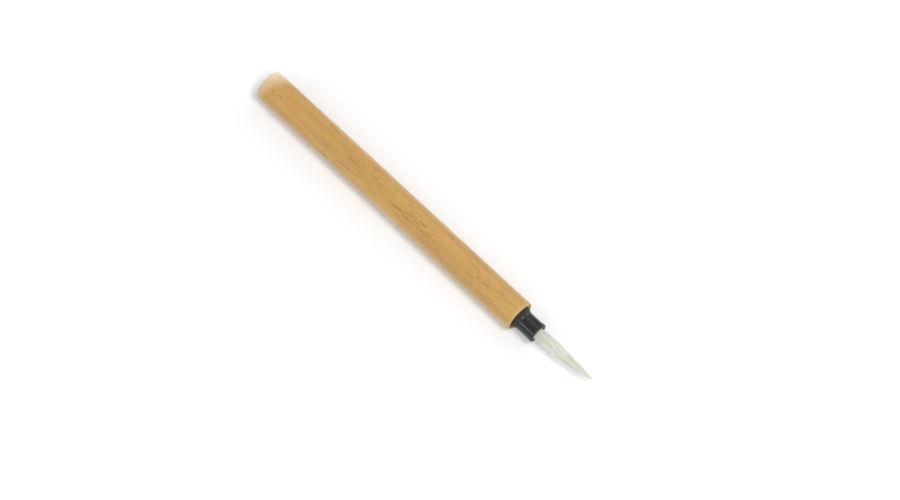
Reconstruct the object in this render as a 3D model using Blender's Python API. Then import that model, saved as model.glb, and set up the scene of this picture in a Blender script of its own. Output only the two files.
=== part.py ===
"""A fine detail brush, lying on its side: wooden handle, black plastic ferrule, and a pointed tuft of hair.

Metres, +Z up. The brush lies along X with its point at +X. The origin is under the middle of its length, on
the surface that the handle lies on. Every piece is turned about the brush's own axis, which runs along X at
the height of the handle's radius.
"""

import math

import bmesh
import bpy
from mathutils import Matrix, Vector

# The whole brush
MM = 0.001
TOTAL_LENGTH = 122.0 * MM
HANDLE_LENGTH = 94.8 * MM
HANDLE_RADIUS = 4.5 * MM
FERRULE_OUT = 6.8 * MM
GAP = 0.25 * MM

REAR_X = -TOTAL_LENGTH / 2
TIP_X = TOTAL_LENGTH / 2
FACE_X = REAR_X + HANDLE_LENGTH
MOUTH_X = FACE_X + FERRULE_OUT
AXIS_HEIGHT = HANDLE_RADIUS

# The handle's two ends, and the blind bore with its drill point and its countersunk mouth
REAR_EDGE_RADIUS = 0.8 * MM
FRONT_EDGE_RADIUS = 0.2 * MM
BORE_RADIUS = 3.05 * MM
BORE_DEPTH = 10.5 * MM
DRILL_POINT_DEPTH = 1.8 * MM
BORE_COUNTERSINK = 0.45 * MM

# The ferrule: a collar that stops against the handle's face, a body with a slight waist, and inside the bore
# a close-fitting plug and then a thinner spigot, where the glue sits
COLLAR_RADIUS = 3.35 * MM
COLLAR_OUT = 0.55 * MM
COLLAR_SLOPE = 0.45 * MM
COLLAR_EDGE = 0.1 * MM
BODY_RADIUS = 2.95 * MM
WAIST_RADIUS = 2.82 * MM
LIP_RADIUS = 2.92 * MM
WAIST_BLEND = 1.0 * MM
LIP_WIDTH = 0.8 * MM
LIP_ROUND = 0.15 * MM
PLUG_RADIUS = BORE_RADIUS - GAP
PLUG_LENGTH = 1.2 * MM
SPIGOT_RADIUS = 2.3 * MM
SPIGOT_DEPTH = 9.5 * MM
SPIGOT_CHAMFER = 0.2 * MM
FERRULE_BORE_RADIUS = 1.95 * MM

# What holds the ferrule and the hair
GLUE_LENGTH = 7.0 * MM
RESIN_LENGTH = 2.6 * MM
THREAD_RADIUS = 0.13 * MM
THREAD_TURNS = 5
THREAD_PITCH = 0.5 * MM
THREAD_INSET = 2.2 * MM

# The tuft
ROOT_DEPTH = 12.5 * MM
MANTLE_MOUTH_RADIUS = FERRULE_BORE_RADIUS - GAP
MANTLE_BELLY_RADIUS = 1.82 * MM
MANTLE_BELLY_OUT = 6.0 * MM
MANTLE_OUT = 14.2 * MM
MANTLE_TIP_RADIUS = 1.28 * MM
MANTLE_TAPER = 1.6
MANTLE_NECK_RADIUS = 1.25 * MM
CORE_ROOT_RADIUS = 0.7 * MM
CORE_BELLY_RADIUS = 0.95 * MM
CORE_SWELL_LENGTH = 1.0 * MM
CORE_SHOULDER_OUT = 14.5 * MM
POINT_TAPER = 0.85
POINT_RADIUS = 0.06 * MM
TIP_DRIFT = 0.9 * MM

HANDLE_SEGMENTS = 64
FERRULE_SEGMENTS = 48
SMALL_SEGMENTS = 32
THREAD_STEPS_PER_TURN = 16
SHARP_ANGLE = math.radians(35)


def clear_scene():
    for old in list(bpy.data.objects):
        bpy.data.objects.remove(old)


def make_material(name, colour, roughness, metallic=0.0):
    material = bpy.data.materials.new(name)
    material.use_nodes = True
    shader = material.node_tree.nodes["Principled BSDF"]
    shader.inputs["Base Color"].default_value = (*colour, 1.0)
    shader.inputs["Roughness"].default_value = roughness
    shader.inputs["Metallic"].default_value = metallic
    material.diffuse_color = (*colour, 1.0)
    return material


def arc(centre_x, centre_r, radius, start_deg, end_deg, steps=5):
    """Points (x, r) along an arc in the half plane of the profile, both ends included."""
    points = []
    for step in range(steps + 1):
        angle = math.radians(start_deg + (end_deg - start_deg) * step / steps)
        points.append((centre_x + radius * math.cos(angle), centre_r + radius * math.sin(angle)))
    return points


def eased(start, end, share):
    """A value that leaves start and reaches end smoothly as share goes from 0 to 1."""
    return start + (end - start) * share * share * (3 - 2 * share)


def turned(name, profile, segments, material, parent, ring=False):
    """Turns a profile of (x, r) points about X. A ring's profile is closed; any other ends on the axis."""
    mesh = bpy.data.meshes.new(name)
    shape = bmesh.new()
    points = [shape.verts.new((x, 0.0, r)) for x, r in profile]
    lines = [shape.edges.new(pair) for pair in zip(points, points[1:])]
    if ring:
        lines.append(shape.edges.new((points[-1], points[0])))
    bmesh.ops.spin(
        shape,
        geom=points + lines,
        cent=Vector((0, 0, 0)),
        axis=Vector((1, 0, 0)),
        angle=math.tau,
        steps=segments,
        use_duplicate=False,
    )
    bmesh.ops.remove_doubles(shape, verts=shape.verts, dist=0.001 * MM)
    bmesh.ops.recalc_face_normals(shape, faces=shape.faces)
    shape.to_mesh(mesh)
    shape.free()
    return place(name, mesh, material, parent)


def place(name, data, material, parent):
    """Makes the named object, gives it its material and hangs it on the brush's axis."""
    piece = bpy.data.objects.new(name, data)
    bpy.context.collection.objects.link(piece)
    data.materials.append(material)
    if piece.type == "MESH":
        data.shade_smooth()
        data.set_sharp_from_angle(angle=SHARP_ANGLE)
    piece.parent = parent
    return piece


def drift(piece):
    """Bends a piece of the tuft a little to +Y, more and more towards its point."""
    free_length = TIP_X - MOUTH_X
    for vertex in piece.data.vertices:
        share = max(0.0, vertex.co.x - MOUTH_X) / free_length
        vertex.co.y += TIP_DRIFT * share * share


def make_handle(parent):
    wood = make_material("handle_wood", (0.52, 0.29, 0.08), 0.5)
    bore_end = FACE_X - BORE_DEPTH
    rear_round = REAR_X + REAR_EDGE_RADIUS
    front_round = FACE_X - FRONT_EDGE_RADIUS
    profile = [(REAR_X, 0.0)]
    profile += arc(rear_round, HANDLE_RADIUS - REAR_EDGE_RADIUS, REAR_EDGE_RADIUS, 180, 90)
    profile += arc(front_round, HANDLE_RADIUS - FRONT_EDGE_RADIUS, FRONT_EDGE_RADIUS, 90, 0, steps=3)
    profile += [
        (FACE_X, BORE_RADIUS + BORE_COUNTERSINK),
        (FACE_X - BORE_COUNTERSINK, BORE_RADIUS),
        (bore_end, BORE_RADIUS),
        (bore_end - DRILL_POINT_DEPTH, 0.0),
    ]
    return turned("handle", profile, HANDLE_SEGMENTS, wood, parent)


def make_ferrule(parent):
    plastic = make_material("ferrule_plastic", (0.018, 0.018, 0.017), 0.22)
    spigot_end = FACE_X - SPIGOT_DEPTH
    plug_end = FACE_X - PLUG_LENGTH
    collar_back = FACE_X + GAP
    collar_front = FACE_X + COLLAR_OUT
    body_start = collar_front + COLLAR_SLOPE
    lip_start = MOUTH_X - LIP_WIDTH
    lip_centre_r = LIP_RADIUS - LIP_ROUND
    profile = [
        (spigot_end, FERRULE_BORE_RADIUS),
        (spigot_end, SPIGOT_RADIUS - SPIGOT_CHAMFER),
        (spigot_end + SPIGOT_CHAMFER, SPIGOT_RADIUS),
        (plug_end, SPIGOT_RADIUS),
        (plug_end, PLUG_RADIUS - SPIGOT_CHAMFER),
        (plug_end + SPIGOT_CHAMFER, PLUG_RADIUS),
        (collar_back, PLUG_RADIUS),
        (collar_back, COLLAR_RADIUS - COLLAR_EDGE),
        (collar_back + COLLAR_EDGE, COLLAR_RADIUS),
    ]
    for step in range(5):
        share = step / 4
        profile.append((collar_front + COLLAR_SLOPE * share, eased(COLLAR_RADIUS, BODY_RADIUS, share)))
    for step in range(1, 4):
        share = step / 3
        profile.append((body_start + WAIST_BLEND * share, eased(BODY_RADIUS, WAIST_RADIUS, share)))
    for step in range(4):
        share = step / 3
        profile.append((lip_start - WAIST_BLEND * (1 - share), eased(WAIST_RADIUS, LIP_RADIUS, share)))
    profile += arc(MOUTH_X - LIP_ROUND, lip_centre_r, LIP_ROUND, 90, 0, steps=3)
    profile += [
        (MOUTH_X, FERRULE_BORE_RADIUS + LIP_ROUND),
        (MOUTH_X - LIP_ROUND, FERRULE_BORE_RADIUS),
    ]
    return turned("ferrule", profile, FERRULE_SEGMENTS, plastic, parent, ring=True)


def make_ferrule_glue(parent):
    """The glue fills the pocket round the spigot, from the plug's end towards the bore's end."""
    glue = make_material("ferrule_glue", (0.62, 0.50, 0.28), 0.35)
    front = FACE_X - PLUG_LENGTH - GAP
    back = front - GLUE_LENGTH
    inner = SPIGOT_RADIUS + GAP
    outer = BORE_RADIUS - GAP
    profile = [(back, inner), (back, outer), (front, outer), (front, inner)]
    return turned("ferrule_glue", profile, SMALL_SEGMENTS, glue, parent, ring=True)


def make_root_resin(parent):
    resin = make_material("root_resin", (0.48, 0.33, 0.12), 0.2)
    front = MOUTH_X - ROOT_DEPTH - GAP
    back = front - RESIN_LENGTH
    outer = FERRULE_BORE_RADIUS - GAP
    profile = [(back, 0.0), (back, outer), (front, outer), (front, 0.0)]
    return turned("root_resin", profile, SMALL_SEGMENTS, resin, parent)


def make_root_thread(parent):
    """A helix of thread in the neck that it draws the root of the tuft into."""
    cotton = make_material("root_thread", (0.75, 0.70, 0.58), 0.9)
    coil_radius = FERRULE_BORE_RADIUS - GAP - THREAD_RADIUS
    start_x = MOUTH_X - ROOT_DEPTH + THREAD_INSET
    curve = bpy.data.curves.new("root_thread", "CURVE")
    curve.dimensions = "3D"
    curve.bevel_depth = THREAD_RADIUS
    curve.bevel_resolution = 1
    curve.use_fill_caps = True
    spline = curve.splines.new("POLY")
    count = THREAD_TURNS * THREAD_STEPS_PER_TURN + 1
    spline.points.add(count - 1)
    for index in range(count):
        turns = index / THREAD_STEPS_PER_TURN
        angle = math.tau * turns
        x = start_x + THREAD_PITCH * turns
        y = coil_radius * math.cos(angle)
        z = coil_radius * math.sin(angle)
        spline.points[index].co = (x, y, z, 1.0)
    return place("root_thread", curve, cotton, parent)


def make_hair_mantle(parent):
    """The outer hairs: a tube round the core, tied in at its root, widest in the belly, thin at its end."""
    hair = make_material("hair_mantle", (0.68, 0.69, 0.62), 0.4)
    root_x = MOUTH_X - ROOT_DEPTH
    neck_start = root_x + THREAD_INSET - THREAD_PITCH - THREAD_RADIUS
    neck_end = root_x + THREAD_INSET + THREAD_PITCH * (THREAD_TURNS + 1) + THREAD_RADIUS
    neck_slope = THREAD_PITCH
    inner_root = CORE_ROOT_RADIUS + GAP
    inner_out = CORE_BELLY_RADIUS + GAP
    end_x = MOUTH_X + MANTLE_OUT
    outer = [
        (root_x, MANTLE_MOUTH_RADIUS),
        (neck_start, MANTLE_MOUTH_RADIUS),
        (neck_start + neck_slope, MANTLE_NECK_RADIUS),
        (neck_end - neck_slope, MANTLE_NECK_RADIUS),
        (neck_end, MANTLE_MOUTH_RADIUS),
        (MOUTH_X, MANTLE_MOUTH_RADIUS),
    ]
    steps = 4
    for step in range(1, steps + 1):
        share = step / steps
        x = MOUTH_X + MANTLE_BELLY_OUT * share
        outer.append((x, eased(MANTLE_MOUTH_RADIUS, MANTLE_BELLY_RADIUS, share)))
    for step in range(1, steps + 1):
        share = step / steps
        x = MOUTH_X + MANTLE_BELLY_OUT + (MANTLE_OUT - MANTLE_BELLY_OUT) * share
        lost = (MANTLE_BELLY_RADIUS - MANTLE_TIP_RADIUS) * share ** MANTLE_TAPER
        outer.append((x, MANTLE_BELLY_RADIUS - lost))
    inner = [(end_x, inner_out)]
    for step in range(steps + 1):
        share = step / steps
        inner.append((MOUTH_X - CORE_SWELL_LENGTH * share, eased(inner_out, inner_root, share)))
    inner.append((root_x, inner_root))
    piece = turned("hair_mantle", outer + inner, SMALL_SEGMENTS, hair, parent, ring=True)
    drift(piece)
    return piece


def make_hair_core(parent):
    """The longest hairs: a thin root, an even belly inside the mantle, and the brush's fine point."""
    hair = make_material("hair_core", (0.72, 0.73, 0.66), 0.4)
    root_x = MOUTH_X - ROOT_DEPTH
    shoulder_x = MOUTH_X + CORE_SHOULDER_OUT
    profile = [(root_x, 0.0), (root_x, CORE_ROOT_RADIUS)]
    steps = 4
    for step in range(steps + 1):
        share = step / steps
        x = MOUTH_X - CORE_SWELL_LENGTH * (1 - share)
        profile.append((x, eased(CORE_ROOT_RADIUS, CORE_BELLY_RADIUS, share)))
    body_steps = 6
    for step in range(1, body_steps + 1):
        share = step / body_steps
        profile.append((MOUTH_X + CORE_SHOULDER_OUT * share, CORE_BELLY_RADIUS))
    point_steps = 7
    for step in range(1, point_steps):
        share = step / point_steps
        radius = POINT_RADIUS + (CORE_BELLY_RADIUS - POINT_RADIUS) * (1 - share) ** POINT_TAPER
        profile.append((shoulder_x + (TIP_X - shoulder_x) * share, radius))
    profile += [(TIP_X, POINT_RADIUS), (TIP_X, 0.0)]
    piece = turned("hair_core", profile, SMALL_SEGMENTS, hair, parent)
    drift(piece)
    return piece


def main():
    clear_scene()
    axis = bpy.data.objects.new("brush_axis", None)
    bpy.context.collection.objects.link(axis)
    axis.matrix_world = Matrix.Translation((0, 0, AXIS_HEIGHT))
    make_handle(axis)
    make_ferrule(axis)
    make_ferrule_glue(axis)
    make_root_resin(axis)
    make_root_thread(axis)
    make_hair_mantle(axis)
    make_hair_core(axis)


main()
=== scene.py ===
"""The looks of a fine detail brush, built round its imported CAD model.

The CAD model is the fixed frame: metres, the brush along X with its point at +X, lying on z = 0. The handle,
the ferrule and the two bundles of hair get finer pieces in the CAD solids' places. The glue, the resin and
the thread inside keep their CAD shapes and get materials.
"""

import math
import random

import bpy
import numpy as np
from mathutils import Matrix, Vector, noise


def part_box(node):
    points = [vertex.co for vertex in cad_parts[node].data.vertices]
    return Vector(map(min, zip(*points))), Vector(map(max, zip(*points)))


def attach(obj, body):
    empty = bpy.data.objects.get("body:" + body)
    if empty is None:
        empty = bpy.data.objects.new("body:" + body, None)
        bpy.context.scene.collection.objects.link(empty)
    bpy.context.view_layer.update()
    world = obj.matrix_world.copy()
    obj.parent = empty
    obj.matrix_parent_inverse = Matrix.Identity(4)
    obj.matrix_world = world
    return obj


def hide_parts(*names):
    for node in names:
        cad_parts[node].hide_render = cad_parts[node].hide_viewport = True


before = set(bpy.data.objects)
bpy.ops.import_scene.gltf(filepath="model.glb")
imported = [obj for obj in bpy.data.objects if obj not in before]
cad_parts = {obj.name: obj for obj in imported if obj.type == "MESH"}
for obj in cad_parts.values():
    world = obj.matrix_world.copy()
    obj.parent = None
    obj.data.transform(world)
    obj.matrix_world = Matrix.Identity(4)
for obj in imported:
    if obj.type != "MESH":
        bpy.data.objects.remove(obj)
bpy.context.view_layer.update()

MM = 0.001
BODY = "root"

# Places, read from the frame
HANDLE_LOW, HANDLE_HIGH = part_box("handle")
FERRULE_LOW, FERRULE_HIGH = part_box("ferrule")
MANTLE_LOW, MANTLE_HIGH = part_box("hair_mantle")
CORE_LOW, CORE_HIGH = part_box("hair_core")
REAR_X = HANDLE_LOW.x
FACE_X = HANDLE_HIGH.x
MOUTH_X = FERRULE_HIGH.x
TIP_X = CORE_HIGH.x
ROOT_X = CORE_LOW.x
AXIS_Z = (HANDLE_LOW.z + HANDLE_HIGH.z) / 2
HANDLE_RADIUS = (HANDLE_HIGH.z - HANDLE_LOW.z) / 2
COLLAR_RADIUS = (FERRULE_HIGH.z - FERRULE_LOW.z) / 2
BELLY_RADIUS = (MANTLE_HIGH.z - MANTLE_LOW.z) / 2
FREE_LENGTH = TIP_X - MOUTH_X


# ---------------------------------------------------------------- materials

class Graph:
    """A material's node tree, with short calls that add a node and join it up."""

    def __init__(self, name):
        self.material = bpy.data.materials.new(name)
        self.material.use_nodes = True
        self.tree = self.material.node_tree
        self.shader = self.tree.nodes["Principled BSDF"]
        self.coords = self.tree.nodes.new("ShaderNodeTexCoord").outputs["Object"]

    def join(self, value, socket):
        """Links an output to a socket, or sets the socket where the value is a plain one."""
        if isinstance(value, bpy.types.NodeSocket):
            self.tree.links.new(value, socket)
        else:
            socket.default_value = value

    def stretch(self, along, across, shift=(0, 0, 0)):
        """Object coordinates with their own scale along the brush and across it."""
        node = self.tree.nodes.new("ShaderNodeMapping")
        node.inputs["Scale"].default_value = (along, across, across)
        node.inputs["Location"].default_value = shift
        self.join(self.coords, node.inputs["Vector"])
        return node.outputs["Vector"]

    def noise(self, vector, detail=2.0, roughness=0.5, distortion=0.0):
        node = self.tree.nodes.new("ShaderNodeTexNoise")
        node.inputs["Scale"].default_value = 1.0
        node.inputs["Detail"].default_value = detail
        node.inputs["Roughness"].default_value = roughness
        node.inputs["Distortion"].default_value = distortion
        self.join(vector, node.inputs["Vector"])
        return node.outputs["Fac"]

    def ramp(self, value, *stops):
        """A colour or a grey for each (position, colour) stop, blended smoothly between them."""
        node = self.tree.nodes.new("ShaderNodeValToRGB")
        self.join(value, node.inputs["Fac"])
        line = node.color_ramp.elements
        while len(line) < len(stops):
            line.new(0.5)
        for point, (position, colour) in zip(line, stops):
            point.position = position
            point.color = (*colour, 1.0) if isinstance(colour, tuple) else (colour, colour, colour, 1.0)
        return node.outputs["Color"]

    def math(self, operation, first, second=0.0, clamp=False):
        node = self.tree.nodes.new("ShaderNodeMath")
        node.operation = operation
        node.use_clamp = clamp
        self.join(first, node.inputs[0])
        self.join(second, node.inputs[1])
        return node.outputs["Value"]

    def mix(self, share, first, second, blend="MIX"):
        """Blends two colours. A share of 0 gives the first one."""
        node = self.tree.nodes.new("ShaderNodeMix")
        node.data_type = "RGBA"
        node.blend_type = blend
        self.join(share, node.inputs["Factor"])
        self.join((*first, 1.0) if isinstance(first, tuple) else first, node.inputs["A"])
        self.join((*second, 1.0) if isinstance(second, tuple) else second, node.inputs["B"])
        return node.outputs["Result"]

    def axis(self, letter):
        """One of the object coordinates, in metres."""
        node = self.tree.nodes.new("ShaderNodeSeparateXYZ")
        self.join(self.coords, node.inputs["Vector"])
        return node.outputs[letter]

    def fall(self, value, start, end):
        """1 where the value is at start and 0 where it is at end, clamped outside."""
        node = self.tree.nodes.new("ShaderNodeMapRange")
        self.join(value, node.inputs["Value"])
        node.inputs["From Min"].default_value = start
        node.inputs["From Max"].default_value = end
        node.inputs["To Min"].default_value = 1.0
        node.inputs["To Max"].default_value = 0.0
        return node.outputs["Result"]

    def value_of(self, attribute):
        """A number that the mesh holds for each of its points."""
        node = self.tree.nodes.new("ShaderNodeAttribute")
        node.attribute_name = attribute
        return node.outputs["Fac"]

    def bump(self, height, depth, strength=1.0, below=None):
        node = self.tree.nodes.new("ShaderNodeBump")
        node.inputs["Strength"].default_value = strength
        node.inputs["Distance"].default_value = depth
        self.join(height, node.inputs["Height"])
        if below is not None:
            self.join(below, node.inputs["Normal"])
        return node.outputs["Normal"]

    def finish(self, colour, roughness, normal=None, **fixed):
        """Joins the shader up. What is the same all over is set on the shader's own sockets."""
        self.join(colour, self.shader.inputs["Base Color"])
        self.join(roughness, self.shader.inputs["Roughness"])
        if normal is not None:
            self.join(normal, self.shader.inputs["Normal"])
        for socket, value in fixed.items():
            self.shader.inputs[socket.replace("_", " ")].default_value = value
        return self.material


def lacquered_wood():
    """Tan wood under a thin matt lacquer: broad soft bands, fine fibres, grain lines and short dark flecks.

    Its front edge is rubbed a little paler. Towards the rear end it grows paler still, at a slant.
    """
    g = Graph("lacquered_wood")
    bands = g.noise(g.stretch(15, 330), detail=3.0, roughness=0.5, distortion=0.3)
    streaks = g.noise(g.stretch(42, 900, (3.2, 0.4, 7.7)), detail=3.0, roughness=0.55, distortion=0.3)
    fibres = g.noise(g.stretch(170, 5200, (0.3, 0.7, 0.1)), detail=4.0, roughness=0.65)
    patches = g.noise(g.stretch(32, 210, (5.1, 2.3, 0.4)), detail=2.0)
    line_shape = g.noise(g.stretch(120, 1700, (4.0, 1.0, 2.0)), detail=2.0, roughness=0.6)
    line_place = g.noise(g.stretch(48, 330, (1.0, 7.0, 3.0)), detail=2.0)
    fleck_shape = g.noise(g.stretch(430, 3900, (2.0, 9.0, 4.0)), detail=1.5, roughness=0.6)
    fleck_place = g.noise(g.stretch(75, 480, (8.0, 1.0, 6.0)), detail=2.0)
    wood = g.ramp(
        bands,
        (0.30, (0.479, 0.253, 0.046)),
        (0.50, (0.536, 0.300, 0.058)),
        (0.70, (0.600, 0.354, 0.082)),
    )
    wood = g.mix(g.ramp(streaks, (0.34, 0.66), (0.58, 0.0)), wood, (0.432, 0.220, 0.041))
    wood = g.mix(g.ramp(patches, (0.42, 0.0), (0.68, 0.5)), wood, (0.557, 0.284, 0.076))
    wood = g.mix(g.ramp(fibres, (0.30, 0.32), (0.62, 0.0)), wood, (0.370, 0.183, 0.037))
    lines = g.math("MULTIPLY", g.ramp(line_shape, (0.55, 0.0), (0.68, 1.0)),
                   g.ramp(line_place, (0.44, 0.0), (0.60, 0.75)))
    wood = g.mix(lines, wood, (0.300, 0.142, 0.030))
    flecks = g.math("MULTIPLY", g.ramp(fleck_shape, (0.57, 0.0), (0.68, 1.0)),
                    g.ramp(fleck_place, (0.45, 0.0), (0.62, 0.9)))
    wood = g.mix(flecks, wood, (0.190, 0.080, 0.018))
    x = g.axis("X")
    rubbed = g.fall(x, FACE_X - 0.05 * MM, FACE_X - 1.1 * MM)
    rubbed = g.math("MULTIPLY", rubbed, g.ramp(fibres, (0.30, 0.4), (0.65, 0.8)))
    wood = g.mix(rubbed, wood, (0.560, 0.370, 0.150))
    # Paler towards the rear end, along a slanting line
    slant = 0.45
    along_slant = g.math("SUBTRACT", x, g.math("MULTIPLY", g.axis("Y"), slant))
    rear_paling = g.fall(along_slant, REAR_X - 0.8 * MM, REAR_X + 5.0 * MM)
    rear_paling = g.math("POWER", rear_paling, 1.35)
    rear_paling = g.math("MULTIPLY", rear_paling, g.ramp(streaks, (0.30, 0.85), (0.65, 1.0)))
    wood = g.mix(rear_paling, wood, (0.820, 0.700, 0.500))
    roughness = g.ramp(fibres, (0.25, 0.46), (0.75, 0.58))
    hollow = g.math("SUBTRACT", fibres, flecks)
    normal = g.bump(hollow, 0.03 * MM, 0.55)
    return g.finish(wood, roughness, normal, Specular_IOR_Level=0.4, Coat_Weight=0.8, Coat_Roughness=0.50,
                    Sheen_Weight=0.42, Sheen_Roughness=0.40)


def end_grain(name, early, late):
    """Cut wood across the grain, with arcs of the year rings, open pores and faint saw marks."""
    g = Graph(name)
    pith_y = -21 * MM
    pith_z = 31 * MM
    y = g.math("SUBTRACT", g.axis("Y"), pith_y)
    z = g.math("SUBTRACT", g.axis("Z"), pith_z)
    from_pith = g.math("SQRT", g.math("ADD", g.math("MULTIPLY", y, y), g.math("MULTIPLY", z, z)))
    wander = g.math("MULTIPLY", g.noise(g.stretch(60, 420), detail=2.0), 0.9 * MM)
    year = 1.3 * MM
    phase = g.math("FRACT", g.math("DIVIDE", g.math("ADD", from_pith, wander), year))
    pores = g.noise(g.stretch(300, 6500), detail=2.0)
    saw = g.noise(g.stretch(200, 900, (3.0, 3.0, 3.0)), detail=3.0)
    wood = g.ramp(phase, (0.0, early), (0.7, early), (1.0, late))
    wood = g.mix(g.ramp(pores, (0.30, 0.65), (0.42, 0.0)), wood, tuple(0.5 * part for part in late))
    wood = g.mix(g.ramp(saw, (0.35, 0.35), (0.65, 0.0)), wood, late)
    normal = g.bump(pores, 0.05 * MM, 0.8)
    return g.finish(wood, g.ramp(saw, (0.3, 0.70), (0.7, 0.88)), normal, Specular_IOR_Level=0.3)


def black_plastic():
    """Glossy black moulded plastic: drag marks, scuffs, a rubbed lip, and a brownish tint at its root."""
    g = Graph("black_plastic")
    drag = g.noise(g.stretch(140, 4200), detail=3.0, roughness=0.6)
    scuffs = g.noise(g.stretch(700, 1500, (4.0, 1.0, 7.0)), detail=4.0, roughness=0.7)
    ripple = g.noise(g.stretch(300, 500, (1.0, 6.0, 2.0)), detail=1.0)
    x = g.axis("X")
    lip = g.fall(x, MOUTH_X - 0.03 * MM, MOUTH_X - 0.5 * MM)
    rubbed = g.math("MULTIPLY", lip, g.ramp(scuffs, (0.42, 0.0), (0.66, 0.7)))
    colour = g.ramp(ripple, (0.35, (0.0115, 0.0115, 0.0110)), (0.65, (0.0180, 0.0180, 0.0168)))
    colour = g.mix(rubbed, colour, (0.030, 0.030, 0.029))
    root = g.fall(x, FACE_X + 0.55 * MM, FACE_X + 1.25 * MM)
    # A brownish tint over the collar, next to the handle's face
    glue = g.math("MULTIPLY", root, g.ramp(scuffs, (0.35, 0.5), (0.60, 1.0)))
    colour = g.mix(glue, colour, (0.026, 0.015, 0.006))
    dull = g.math("MAXIMUM", g.fall(x, FACE_X + 0.95 * MM, FACE_X + 1.6 * MM), lip)
    worn = g.math("MAXIMUM", g.ramp(scuffs, (0.50, 0.0), (0.72, 0.6)), dull)
    roughness = g.mix(worn, (0.20, 0.20, 0.20), (0.50, 0.50, 0.50))
    normal = g.bump(drag, 0.010 * MM, 0.5, below=g.bump(ripple, 0.03 * MM, 0.5))
    return g.finish(colour, roughness, normal, Specular_IOR_Level=0.42)


def set_adhesive(name, clear_colour, deep_colour, roughness):
    """Glue or resin once it has set: uneven in colour, with small lumps and bubbles."""
    g = Graph(name)
    lumps = g.noise(g.stretch(900, 1200), detail=3.0)
    bubbles = g.noise(g.stretch(4200, 4200), detail=1.0)
    colour = g.ramp(lumps, (0.3, deep_colour), (0.7, clear_colour))
    colour = g.mix(g.ramp(bubbles, (0.66, 0.0), (0.74, 0.5)), colour, (0.80, 0.72, 0.52))
    rough = g.ramp(bubbles, (0.3, roughness), (0.7, roughness + 0.12))
    return g.finish(colour, rough, g.bump(lumps, 0.05 * MM, 0.7))


def cotton_thread():
    """Undyed thread: fine twisted strands, shown as slanting bands, with a soft uneven surface."""
    g = Graph("cotton_thread")
    strands = g.noise(g.stretch(9000, 5200), detail=3.0, roughness=0.6, distortion=1.2)
    fuzz = g.noise(g.stretch(16000, 16000), detail=2.0)
    colour = g.ramp(strands, (0.3, (0.52, 0.46, 0.34)), (0.7, (0.80, 0.75, 0.62)))
    normal = g.bump(strands, 0.03 * MM, 0.8, below=g.bump(fuzz, 0.01 * MM, 0.5))
    return g.finish(colour, g.ramp(fuzz, (0.3, 0.82), (0.7, 0.95)), normal, Sheen_Weight=0.3)


def brush_hair(name):
    """Off-white hair, with painted shade that darkens it towards the ferrule. Each hair has its own tone
    among darker and paler ones.
    """
    g = Graph(name)
    along = g.noise(g.stretch(160, 2600, (0.2, 0.9, 0.5)), detail=3.0, roughness=0.6)
    grime = g.noise(g.stretch(500, 2600, (3.0, 8.0, 1.0)), detail=3.0)
    tone = g.math("ADD", g.value_of(TONE), g.math("MULTIPLY", g.math("SUBTRACT", along, 0.5), 0.5))
    colour = g.ramp(
        tone,
        (0.0, (0.765, 0.755, 0.650)),
        (0.5, (0.930, 0.925, 0.850)),
        (1.0, (0.970, 0.966, 0.925)),
    )
    # Painted shade: the hair's colour is darkened near the ferrule's mouth
    root = g.fall(g.axis("X"), MOUTH_X, MOUTH_X + 9.0 * MM)
    colour = g.mix(root, colour, (0.720, 0.715, 0.690), "MULTIPLY")
    roughness = g.ramp(grime, (0.3, 0.34), (0.7, 0.50))
    normal = g.bump(grime, 0.006 * MM, 0.4)
    return g.finish(colour, roughness, normal, Specular_IOR_Level=0.5)


def studio_floor():
    g = Graph("studio_floor")
    tooth = g.noise(g.stretch(900, 900), detail=3.0)
    colour = g.ramp(tooth, (0.3, (0.905, 0.905, 0.905)), (0.7, (0.925, 0.925, 0.925)))
    return g.finish(colour, g.ramp(tooth, (0.3, 0.80), (0.7, 0.95)), g.bump(tooth, 0.02 * MM, 0.2))


# ---------------------------------------------------------------- turned pieces

def arc(centre_x, centre_r, radius, start_deg, end_deg, steps):
    """Points (x, r) along an arc of a profile, both ends included."""
    points = []
    for step in range(steps + 1):
        angle = math.radians(start_deg + (end_deg - start_deg) * step / steps)
        points.append((centre_x + radius * math.cos(angle), centre_r + radius * math.sin(angle)))
    return points


def run(start, end, steps):
    """Points (x, r) along a straight stretch of a profile, without its two ends."""
    return [
        (start[0] + (end[0] - start[0]) * step / steps, start[1] + (end[1] - start[1]) * step / steps)
        for step in range(1, steps)
    ]


def eased(share):
    return share * share * (3 - 2 * share)


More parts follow.
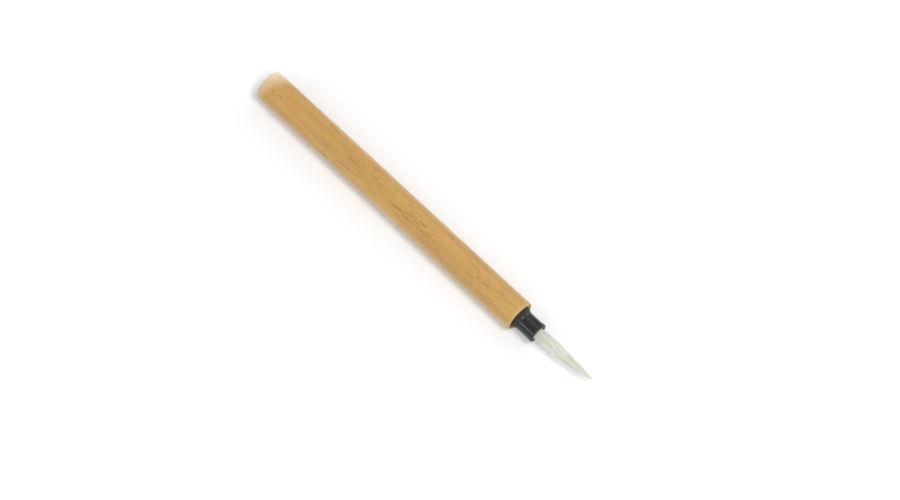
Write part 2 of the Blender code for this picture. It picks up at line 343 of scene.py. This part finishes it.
def turned(name, profile, segments, materials, slot_of, relief, closed):
    """Turns a profile of (x, r) points about the brush's axis into a closed mesh.

    relief(x, angle, r) gives the radius that a point really has, and slot_of(x, r) its material slot.
    A closed profile makes a tube; any other starts and ends on the axis.
    """
    verts = []
    faces = []
    slots = []
    rings = profile if closed else profile[1:-1]
    for x, r in rings:
        for segment in range(segments):
            angle = math.tau * segment / segments
            true_r = relief(x, angle, r)
            verts.append((x, true_r * math.cos(angle), AXIS_Z + true_r * math.sin(angle)))
    bands = len(rings) if closed else len(rings) - 1
    for band in range(bands):
        here = band * segments
        there = (band + 1) % len(rings) * segments
        x = (rings[band][0] + rings[(band + 1) % len(rings)][0]) / 2
        r = (rings[band][1] + rings[(band + 1) % len(rings)][1]) / 2
        for segment in range(segments):
            after = (segment + 1) % segments
            faces.append((here + segment, there + segment, there + after, here + after))
            slots.append(slot_of(x, r))
    if not closed:
        for pole, base in ((profile[0], 0), (profile[-1], (len(rings) - 1) * segments)):
            centre = len(verts)
            verts.append((pole[0], 0.0, AXIS_Z))
            for segment in range(segments):
                after = (segment + 1) % segments
                edge = (base + segment, base + after)
                faces.append((centre, *edge) if base == 0 else (centre, *reversed(edge)))
                slots.append(slot_of(pole[0], 0.0))
    mesh = bpy.data.meshes.new(name)
    mesh.from_pydata(verts, [], faces)
    for material in materials:
        mesh.materials.append(material)
    mesh.polygons.foreach_set("material_index", slots)
    mesh.update()
    mesh.shade_smooth()
    mesh.set_sharp_from_angle(angle=math.radians(32))
    piece = bpy.data.objects.new(name, mesh)
    bpy.context.collection.objects.link(piece)
    return piece


def make_handle():
    """The dowel, with a hand-cut front end, a rounded rear end, and the grain standing a little proud."""
    rear_round = 0.8 * MM
    front_round = 0.2 * MM
    bore_radius = 3.05 * MM
    countersink = 0.45 * MM
    bore_end = FACE_X - 10.5 * MM
    drill_point = bore_end - 1.8 * MM
    rear_start = (REAR_X, HANDLE_RADIUS - rear_round)
    front_end = (FACE_X, HANDLE_RADIUS - front_round)
    side_start = (REAR_X + rear_round, HANDLE_RADIUS)
    side_end = (FACE_X - front_round, HANDLE_RADIUS)
    bore_start = (FACE_X - countersink, bore_radius)
    # How much of the radius the wood's waves, grain, fibres and chipped front edge take off, in millimetres
    wave_depth = 0.035
    grain_depth = 0.014
    fibre_depth = 0.006
    chip_depth = 0.05
    chipped_length = 0.5 * MM
    profile = [(REAR_X, 0.0)]
    profile += run((REAR_X, 0.0), rear_start, 7)
    profile += arc(side_start[0], rear_start[1], rear_round, 180, 90, 8)
    profile += run(side_start, side_end, 290)
    profile += arc(side_end[0], front_end[1], front_round, 90, 0, 5)
    profile += run(front_end, (FACE_X, bore_radius + countersink), 5)
    profile += [(FACE_X, bore_radius + countersink), bore_start]
    profile += run(bore_start, (bore_end, bore_radius), 8)
    profile += [(bore_end, bore_radius), (drill_point, 0.0)]

    def relief(x, angle, r):
        if r < bore_radius + countersink + 0.01 * MM:
            return r
        y = math.cos(angle)
        z = math.sin(angle)
        wave = noise.noise(Vector((x * 26, y * 0.8, z * 0.8)))
        grain = noise.noise(Vector((x * 85, y * 8.5, z * 8.5)))
        fine = noise.noise(Vector((x * 260, y * 24, z * 24)))
        chip = abs(noise.noise(Vector((x * 300, y * 11, z * 11))))
        edge = max(0.0, 1 - (FACE_X - x) / chipped_length) * chip
        lost = wave_depth * (0.5 - 0.5 * wave) + grain_depth * abs(grain)
        lost += fibre_depth * abs(fine) + chip_depth * edge
        return r - lost * MM * min(1.0, r / HANDLE_RADIUS)

    def slot_of(x, r):
        if r >= HANDLE_RADIUS - 0.6 * front_round:
            return 0
        if x > FACE_X - 1.5 * countersink:
            return 1
        return 2 if r < HANDLE_RADIUS - 0.8 * rear_round else 0

    materials = [
        lacquered_wood(),
        end_grain("front_end_grain", (0.520, 0.325, 0.118), (0.400, 0.232, 0.072)),
        end_grain("rear_end_grain", (0.760, 0.620, 0.410), (0.620, 0.460, 0.260)),
    ]
    return turned("handle_wood", profile, 144, materials, slot_of, relief, closed=False)


def make_ferrule():
    """The moulded tube: a collar, a faint waist, a rounded lip, a stepped spigot and two parting lines."""
    plug = 2.80 * MM
    body = 2.95 * MM
    waist = 2.82 * MM
    lip = 2.92 * MM
    spigot = 2.30 * MM
    bore = 1.95 * MM
    lip_round = 0.15 * MM
    plug_end = FACE_X - 1.2 * MM
    collar_back = FACE_X + 0.03 * MM
    collar_front = FACE_X + 0.55 * MM
    edge = 0.2 * MM
    collar_edge = 0.1 * MM
    parting_width = 0.07 * MM
    parting_height = 0.022 * MM
    sink_depth = 0.02 * MM
    steps = 14
    profile = arc(FERRULE_LOW.x + edge, spigot - edge, edge, 180, 90, 4)
    profile += run((FERRULE_LOW.x + edge, spigot), (plug_end, spigot), 12)
    profile += [(plug_end, spigot)]
    profile += arc(plug_end + edge, plug - edge, edge, 180, 90, 4)
    profile += run((plug_end + edge, plug), (collar_back, plug), 4)
    profile += [(collar_back, plug)]
    profile += arc(collar_back + collar_edge, COLLAR_RADIUS - collar_edge, collar_edge, 180, 90, 5)
    shape = (
        (collar_front, COLLAR_RADIUS),
        (collar_front + 0.45 * MM, body),
        (collar_front + 1.45 * MM, waist),
        (MOUTH_X - 1.8 * MM, waist),
        (MOUTH_X - 0.8 * MM, lip),
    )
    for (x0, r0), (x1, r1) in zip(shape, shape[1:]):
        for step in range(steps):
            share = step / steps
            profile.append((x0 + (x1 - x0) * share, r0 + (r1 - r0) * eased(share)))
    profile.append(shape[-1])
    profile += arc(MOUTH_X - lip_round, lip - lip_round, lip_round, 90, 0, 6)
    profile += run((MOUTH_X, lip - lip_round), (MOUTH_X, bore + lip_round), 5)
    profile += arc(MOUTH_X - lip_round, bore + lip_round, lip_round, 0, -90, 5)
    profile += run((MOUTH_X - lip_round, bore), (FERRULE_LOW.x + edge, bore), 16)
    profile += [(FERRULE_LOW.x, bore)]

    def relief(x, angle, r):
        if r < bore + lip_round or x < collar_back:
            return r
        parting = math.exp(-(math.sin(angle) * body / parting_width) ** 2)
        sink = 0.5 + 0.5 * noise.noise(Vector((x * 350, math.cos(angle), math.sin(angle))))
        return r + parting_height * parting - sink_depth * sink

    return turned("ferrule_shell", profile, 160, [black_plastic()], lambda x, r: 0, relief, closed=True)


# ---------------------------------------------------------------- hair

# The tuft's outline: (share of the free length, share of the belly's radius)
OUTLINE = ((-0.05, 0.93), (0.0, 0.94), (0.12, 0.96), (0.28, 0.98), (0.45, 0.91), (0.60, 0.78),
           (0.74, 0.57), (0.87, 0.31), (0.96, 0.12), (1.0, 0.03))
# How far the point leans to +Y, and the turn of the whole tuft from its root to its point, in radians
TIP_DRIFT = 0.9 * MM
TWIST = 0.9
# The core's share of the tuft's radius, and the places where the hairs are tied and where they fill the bore
CORE_SHARE = 0.62
TIE_X = ROOT_X + 3.5 * MM
FULL_BORE_X = MOUTH_X - 6.0 * MM
HAIRS = 900
CLUMPS = 64
HAIR_RADIUS = 0.052 * MM
HAIR_SIDES = 5
HAIR_RINGS = 16
# Shares of the free length: where the shaped stretch starts, just inside the mouth, where the outermost hairs
# end, and how much further the hairs nearer the middle reach
FIRST_SHARE = -0.05
OUTER_END = 0.52
INNER_GAIN = 0.50
INNER_DEPTH = 0.85
# Each hair tapers from this share of its own free length on, and loses this share of its thickness
TAPER_FROM = 0.55
TAPER_LOSS = 0.86
# Small irregularities, in metres except for the shares of loose hairs and of a groove's depth
SWAY = 0.02 * MM
WOBBLE = 0.03 * MM
LOOSE_SHARE = 0.12
LOOSE_LEAST = 0.1 * MM
LOOSE_MOST = 0.75 * MM
GROOVE_DEPTH = 0.13
GOLDEN_ANGLE = math.pi * (3 - math.sqrt(5))
LOCK_EDGES = tuple(math.radians(edge) for edge in (46, 103, 150, 205, 251, 300, 348))
TONE = "hair_tone"


def outline_radius(share):
    shares, radii = zip(*OUTLINE)
    return BELLY_RADIUS * float(np.interp(share, shares, radii))


def spiral(index, count):
    """(distance from the middle, angle) of one of count points spread evenly over a unit disc."""
    return math.sqrt((index + 0.5) / count), index * GOLDEN_ANGLE


def lock_nearness(angle):
    """How near an angle is to the groove between two locks: 1 in the groove, 0 in the middle of a lock."""
    edges = LOCK_EDGES + (LOCK_EDGES[0] + math.tau,)
    angle = (angle - edges[0]) % math.tau + edges[0]
    for low, high in zip(edges, edges[1:]):
        if low <= angle <= high:
            return abs(angle - (low + high) / 2) / ((high - low) / 2)
    return 0.0


def nearest_clump(place):
    """(number, place on the unit disc) of the clump that a hair gathers to."""
    places = []
    for index in range(CLUMPS):
        spread, angle = spiral(index, CLUMPS)
        places.append(Vector((spread * math.cos(angle), spread * math.sin(angle))))
    number = min(range(CLUMPS), key=lambda index: (places[index] - place).length)
    return number, places[number]


def hair_path(draw, index):
    """(points, radii, tone) of one hair, from its root inside the ferrule to its own fine tip."""
    spread, angle = spiral(index, HAIRS)
    place = Vector((spread * math.cos(angle), spread * math.sin(angle)))
    clump, clump_place = nearest_clump(place)
    end = min(1.0, OUTER_END + INNER_GAIN * (1 - spread) / INNER_DEPTH) * draw.uniform(0.94, 1.0)
    gather = draw.uniform(0.24, 0.50)
    sway_phase = draw.uniform(0, math.tau)
    sway = draw.uniform(0.2, 1.0) * SWAY
    wobble = draw.gauss(0, 1) * WOBBLE
    loose = draw.random() < LOOSE_SHARE
    stray = wobble + loose * draw.uniform(LOOSE_LEAST, LOOSE_MOST)
    stray_from = draw.uniform(0.35, 1.6)
    thick = HAIR_RADIUS * draw.uniform(0.75, 1.25)
    clump_tone = 0.5 + 0.5 * noise.noise(Vector((clump * 3.7, 0.4, 0.9)))
    tone = 0.25 + 0.45 * clump_tone + draw.gauss(0, 0.16)
    points = []
    radii = []
    for x, squeeze in ((ROOT_X, 0.80), (TIE_X, 0.66), (FULL_BORE_X, 0.90)):
        r = spread * BELLY_RADIUS * squeeze
        points.append((x, r * math.cos(angle), r * math.sin(angle)))
        radii.append(thick)
    for ring in range(HAIR_RINGS):
        share = FIRST_SHARE + (end - FIRST_SHARE) * ring / (HAIR_RINGS - 1)
        grown = max(0.0, share)
        survive = 1.0 if grown < 0.5 else 1.0 - 0.85 * (grown - 0.5) / 0.5
        pull = gather * eased(min(1.0, grown / 0.5))
        here = place.lerp(clump_place, pull)
        out = min(1.0, here.length / survive)
        own_turn = math.atan2(here.y, here.x)
        groove = 1 - GROOVE_DEPTH * spread ** 3 * lock_nearness(own_turn) ** 7 * eased(min(1.0, grown / 0.2))
        turn = own_turn + TWIST * grown
        r = (outline_radius(share) - thick) * out * groove + stray * grown ** stray_from
        side = sway * math.sin(sway_phase + 7 * grown)
        y = r * math.cos(turn) - side * math.sin(turn) + TIP_DRIFT * grown ** 2
        z = r * math.sin(turn) + side * math.cos(turn)
        points.append((MOUTH_X + share * FREE_LENGTH, y, z))
        taper = max(0.0, (share / end - TAPER_FROM) / (1 - TAPER_FROM)) if share > 0 else 0.0
        radii.append(thick * (1 - TAPER_LOSS * taper ** 1.3))
    return points, radii, tone


def add_hair(verts, faces, points, radii):
    """Adds one closed tube along the points, with its two ends capped."""
    start = len(verts)
    for (x, y, z), radius in zip(points, radii):
        for side in range(HAIR_SIDES):
            angle = math.tau * side / HAIR_SIDES
            verts.append((x, y + radius * math.cos(angle), AXIS_Z + z + radius * math.sin(angle)))
    for ring in range(len(points) - 1):
        here = start + ring * HAIR_SIDES
        there = here + HAIR_SIDES
        for side in range(HAIR_SIDES):
            after = (side + 1) % HAIR_SIDES
            faces.append((here + side, there + side, there + after, here + after))
    last = len(verts) - HAIR_SIDES
    faces.append(tuple(start + side for side in range(HAIR_SIDES)))
    faces.append(tuple(last + side for side in reversed(range(HAIR_SIDES))))


def make_hairs(name, indices, seed):
    draw = random.Random(seed)
    verts = []
    faces = []
    tones = []
    for index in indices:
        points, radii, tone = hair_path(draw, index)
        add_hair(verts, faces, points, radii)
        tones += [tone] * (len(verts) - len(tones))
    mesh = bpy.data.meshes.new(name)
    mesh.from_pydata(verts, [], faces)
    mesh.attributes.new(TONE, "FLOAT", "POINT").data.foreach_set("value", tones)
    mesh.materials.append(brush_hair(name + "_look"))
    mesh.update()
    mesh.shade_smooth()
    piece = bpy.data.objects.new(name, mesh)
    bpy.context.collection.objects.link(piece)
    return piece


# ---------------------------------------------------------------- the object

def dress(node, material):
    """Gives a CAD node that stays in the scene its procedural material."""
    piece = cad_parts[node]
    for slot in piece.material_slots:
        slot.material = material


def build_object():
    core_count = round(HAIRS * CORE_SHARE ** 2)
    pieces = (
        (make_handle(), "handle", "handle_wood"),
        (make_ferrule(), "ferrule", "ferrule_plastic"),
        (make_hairs("core_hairs", range(core_count), 11), "hair_core", "hair"),
        (make_hairs("mantle_hairs", range(core_count, HAIRS), 12), "hair_mantle", "hair"),
    )
    for piece, node, slot in pieces:
        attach(piece, BODY)
        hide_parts(node)
    dress("ferrule_glue", set_adhesive("set_glue", (0.66, 0.52, 0.28), (0.44, 0.29, 0.11), 0.35))
    dress("root_resin", set_adhesive("set_resin", (0.56, 0.38, 0.14), (0.33, 0.17, 0.04), 0.16))
    dress("root_thread", cotton_thread())


# ---------------------------------------------------------------- studio

VIEW_AZIMUTH = math.radians(44.5)
VIEW_ELEVATION = math.radians(70.0)
VIEW_WIDTH = 238.0 * MM
LENS_MM = 200.0
SENSOR_MM = 36.0
LIGHT_COLOUR = (0.987, 1.0, 1.013)
SOFTBOX_DISTANCE = 1.2
FLOOR_SIDE = 6.0
FACE_RIGHT_OF_MIDDLE = 18.46 * MM
FACE_BELOW_MIDDLE = 17.65 * MM


def make_camera():
    """A long lens high above the table, with the brush pointing to the lower right."""
    right = Vector((math.cos(VIEW_AZIMUTH), math.sin(VIEW_AZIMUTH), 0.0))
    level = Vector((-math.sin(VIEW_AZIMUTH), math.cos(VIEW_AZIMUTH), 0.0))
    ahead = level * math.cos(VIEW_ELEVATION) - Vector((0, 0, 1)) * math.sin(VIEW_ELEVATION)
    up = level * math.sin(VIEW_ELEVATION) + Vector((0, 0, 1)) * math.cos(VIEW_ELEVATION)
    face = Vector((FACE_X, 0.0, AXIS_Z))
    target = face - right * FACE_RIGHT_OF_MIDDLE + up * FACE_BELOW_MIDDLE
    distance = VIEW_WIDTH * LENS_MM / SENSOR_MM
    data = bpy.data.cameras.new("camera")
    data.lens = LENS_MM
    data.sensor_width = SENSOR_MM
    data.clip_end = 20.0
    camera = bpy.data.objects.new("camera", data)
    camera.location = target - ahead * distance
    camera.rotation_euler = ahead.to_track_quat("-Z", "Y").to_euler()
    bpy.context.collection.objects.link(camera)
    bpy.context.scene.camera = camera


def add_softbox(name, direction, size, power, shape="DISK", size_y=None):
    """A soft lamp that looks at the brush from a direction."""
    data = bpy.data.lights.new(name, "AREA")
    data.shape = shape
    data.size = size
    if size_y is not None:
        data.size_y = size_y
    data.energy = power
    data.color = LIGHT_COLOUR
    lamp = bpy.data.objects.new(name, data)
    away = Vector(direction).normalized()
    lamp.location = Vector((0.0, 0.0, AXIS_Z)) + away * SOFTBOX_DISTANCE
    lamp.rotation_euler = (-away).to_track_quat("-Z", "Y").to_euler()
    bpy.context.collection.objects.link(lamp)


def make_studio():
    mesh = bpy.data.meshes.new("floor")
    half = FLOOR_SIDE / 2
    corners = [(x * half, y * half, 0.0) for x, y in ((-1, -1), (1, -1), (1, 1), (-1, 1))]
    mesh.from_pydata(corners, [], [(0, 1, 2, 3)])
    mesh.materials.append(studio_floor())
    floor = bpy.data.objects.new("floor", mesh)
    bpy.context.collection.objects.link(floor)

    world = bpy.data.worlds.new("studio")
    bpy.context.scene.world = world
    world.use_nodes = True
    sky = world.node_tree.nodes["Background"]
    sky.inputs["Color"].default_value = (*LIGHT_COLOUR, 1.0)
    sky.inputs["Strength"].default_value = 0.34

    add_softbox("key", (0.35, 0.04, 0.94), 0.5, 6.7)
    add_softbox("fill", (0.46, -0.45, 0.77), 1.0, 3.7)
    add_softbox("back_panel", (-0.24, 0.60, 0.76), 1.0, 1.6)
    add_softbox("low_panel", (0.30, 0.88, 0.36), 0.8, 4.5)
    add_softbox("side_strip", (-0.24, -0.83, 0.50), 1.0, 3.2, "RECTANGLE", 0.30)

    bpy.context.scene.view_settings.view_transform = "Standard"


make_camera()
build_object()
make_studio()
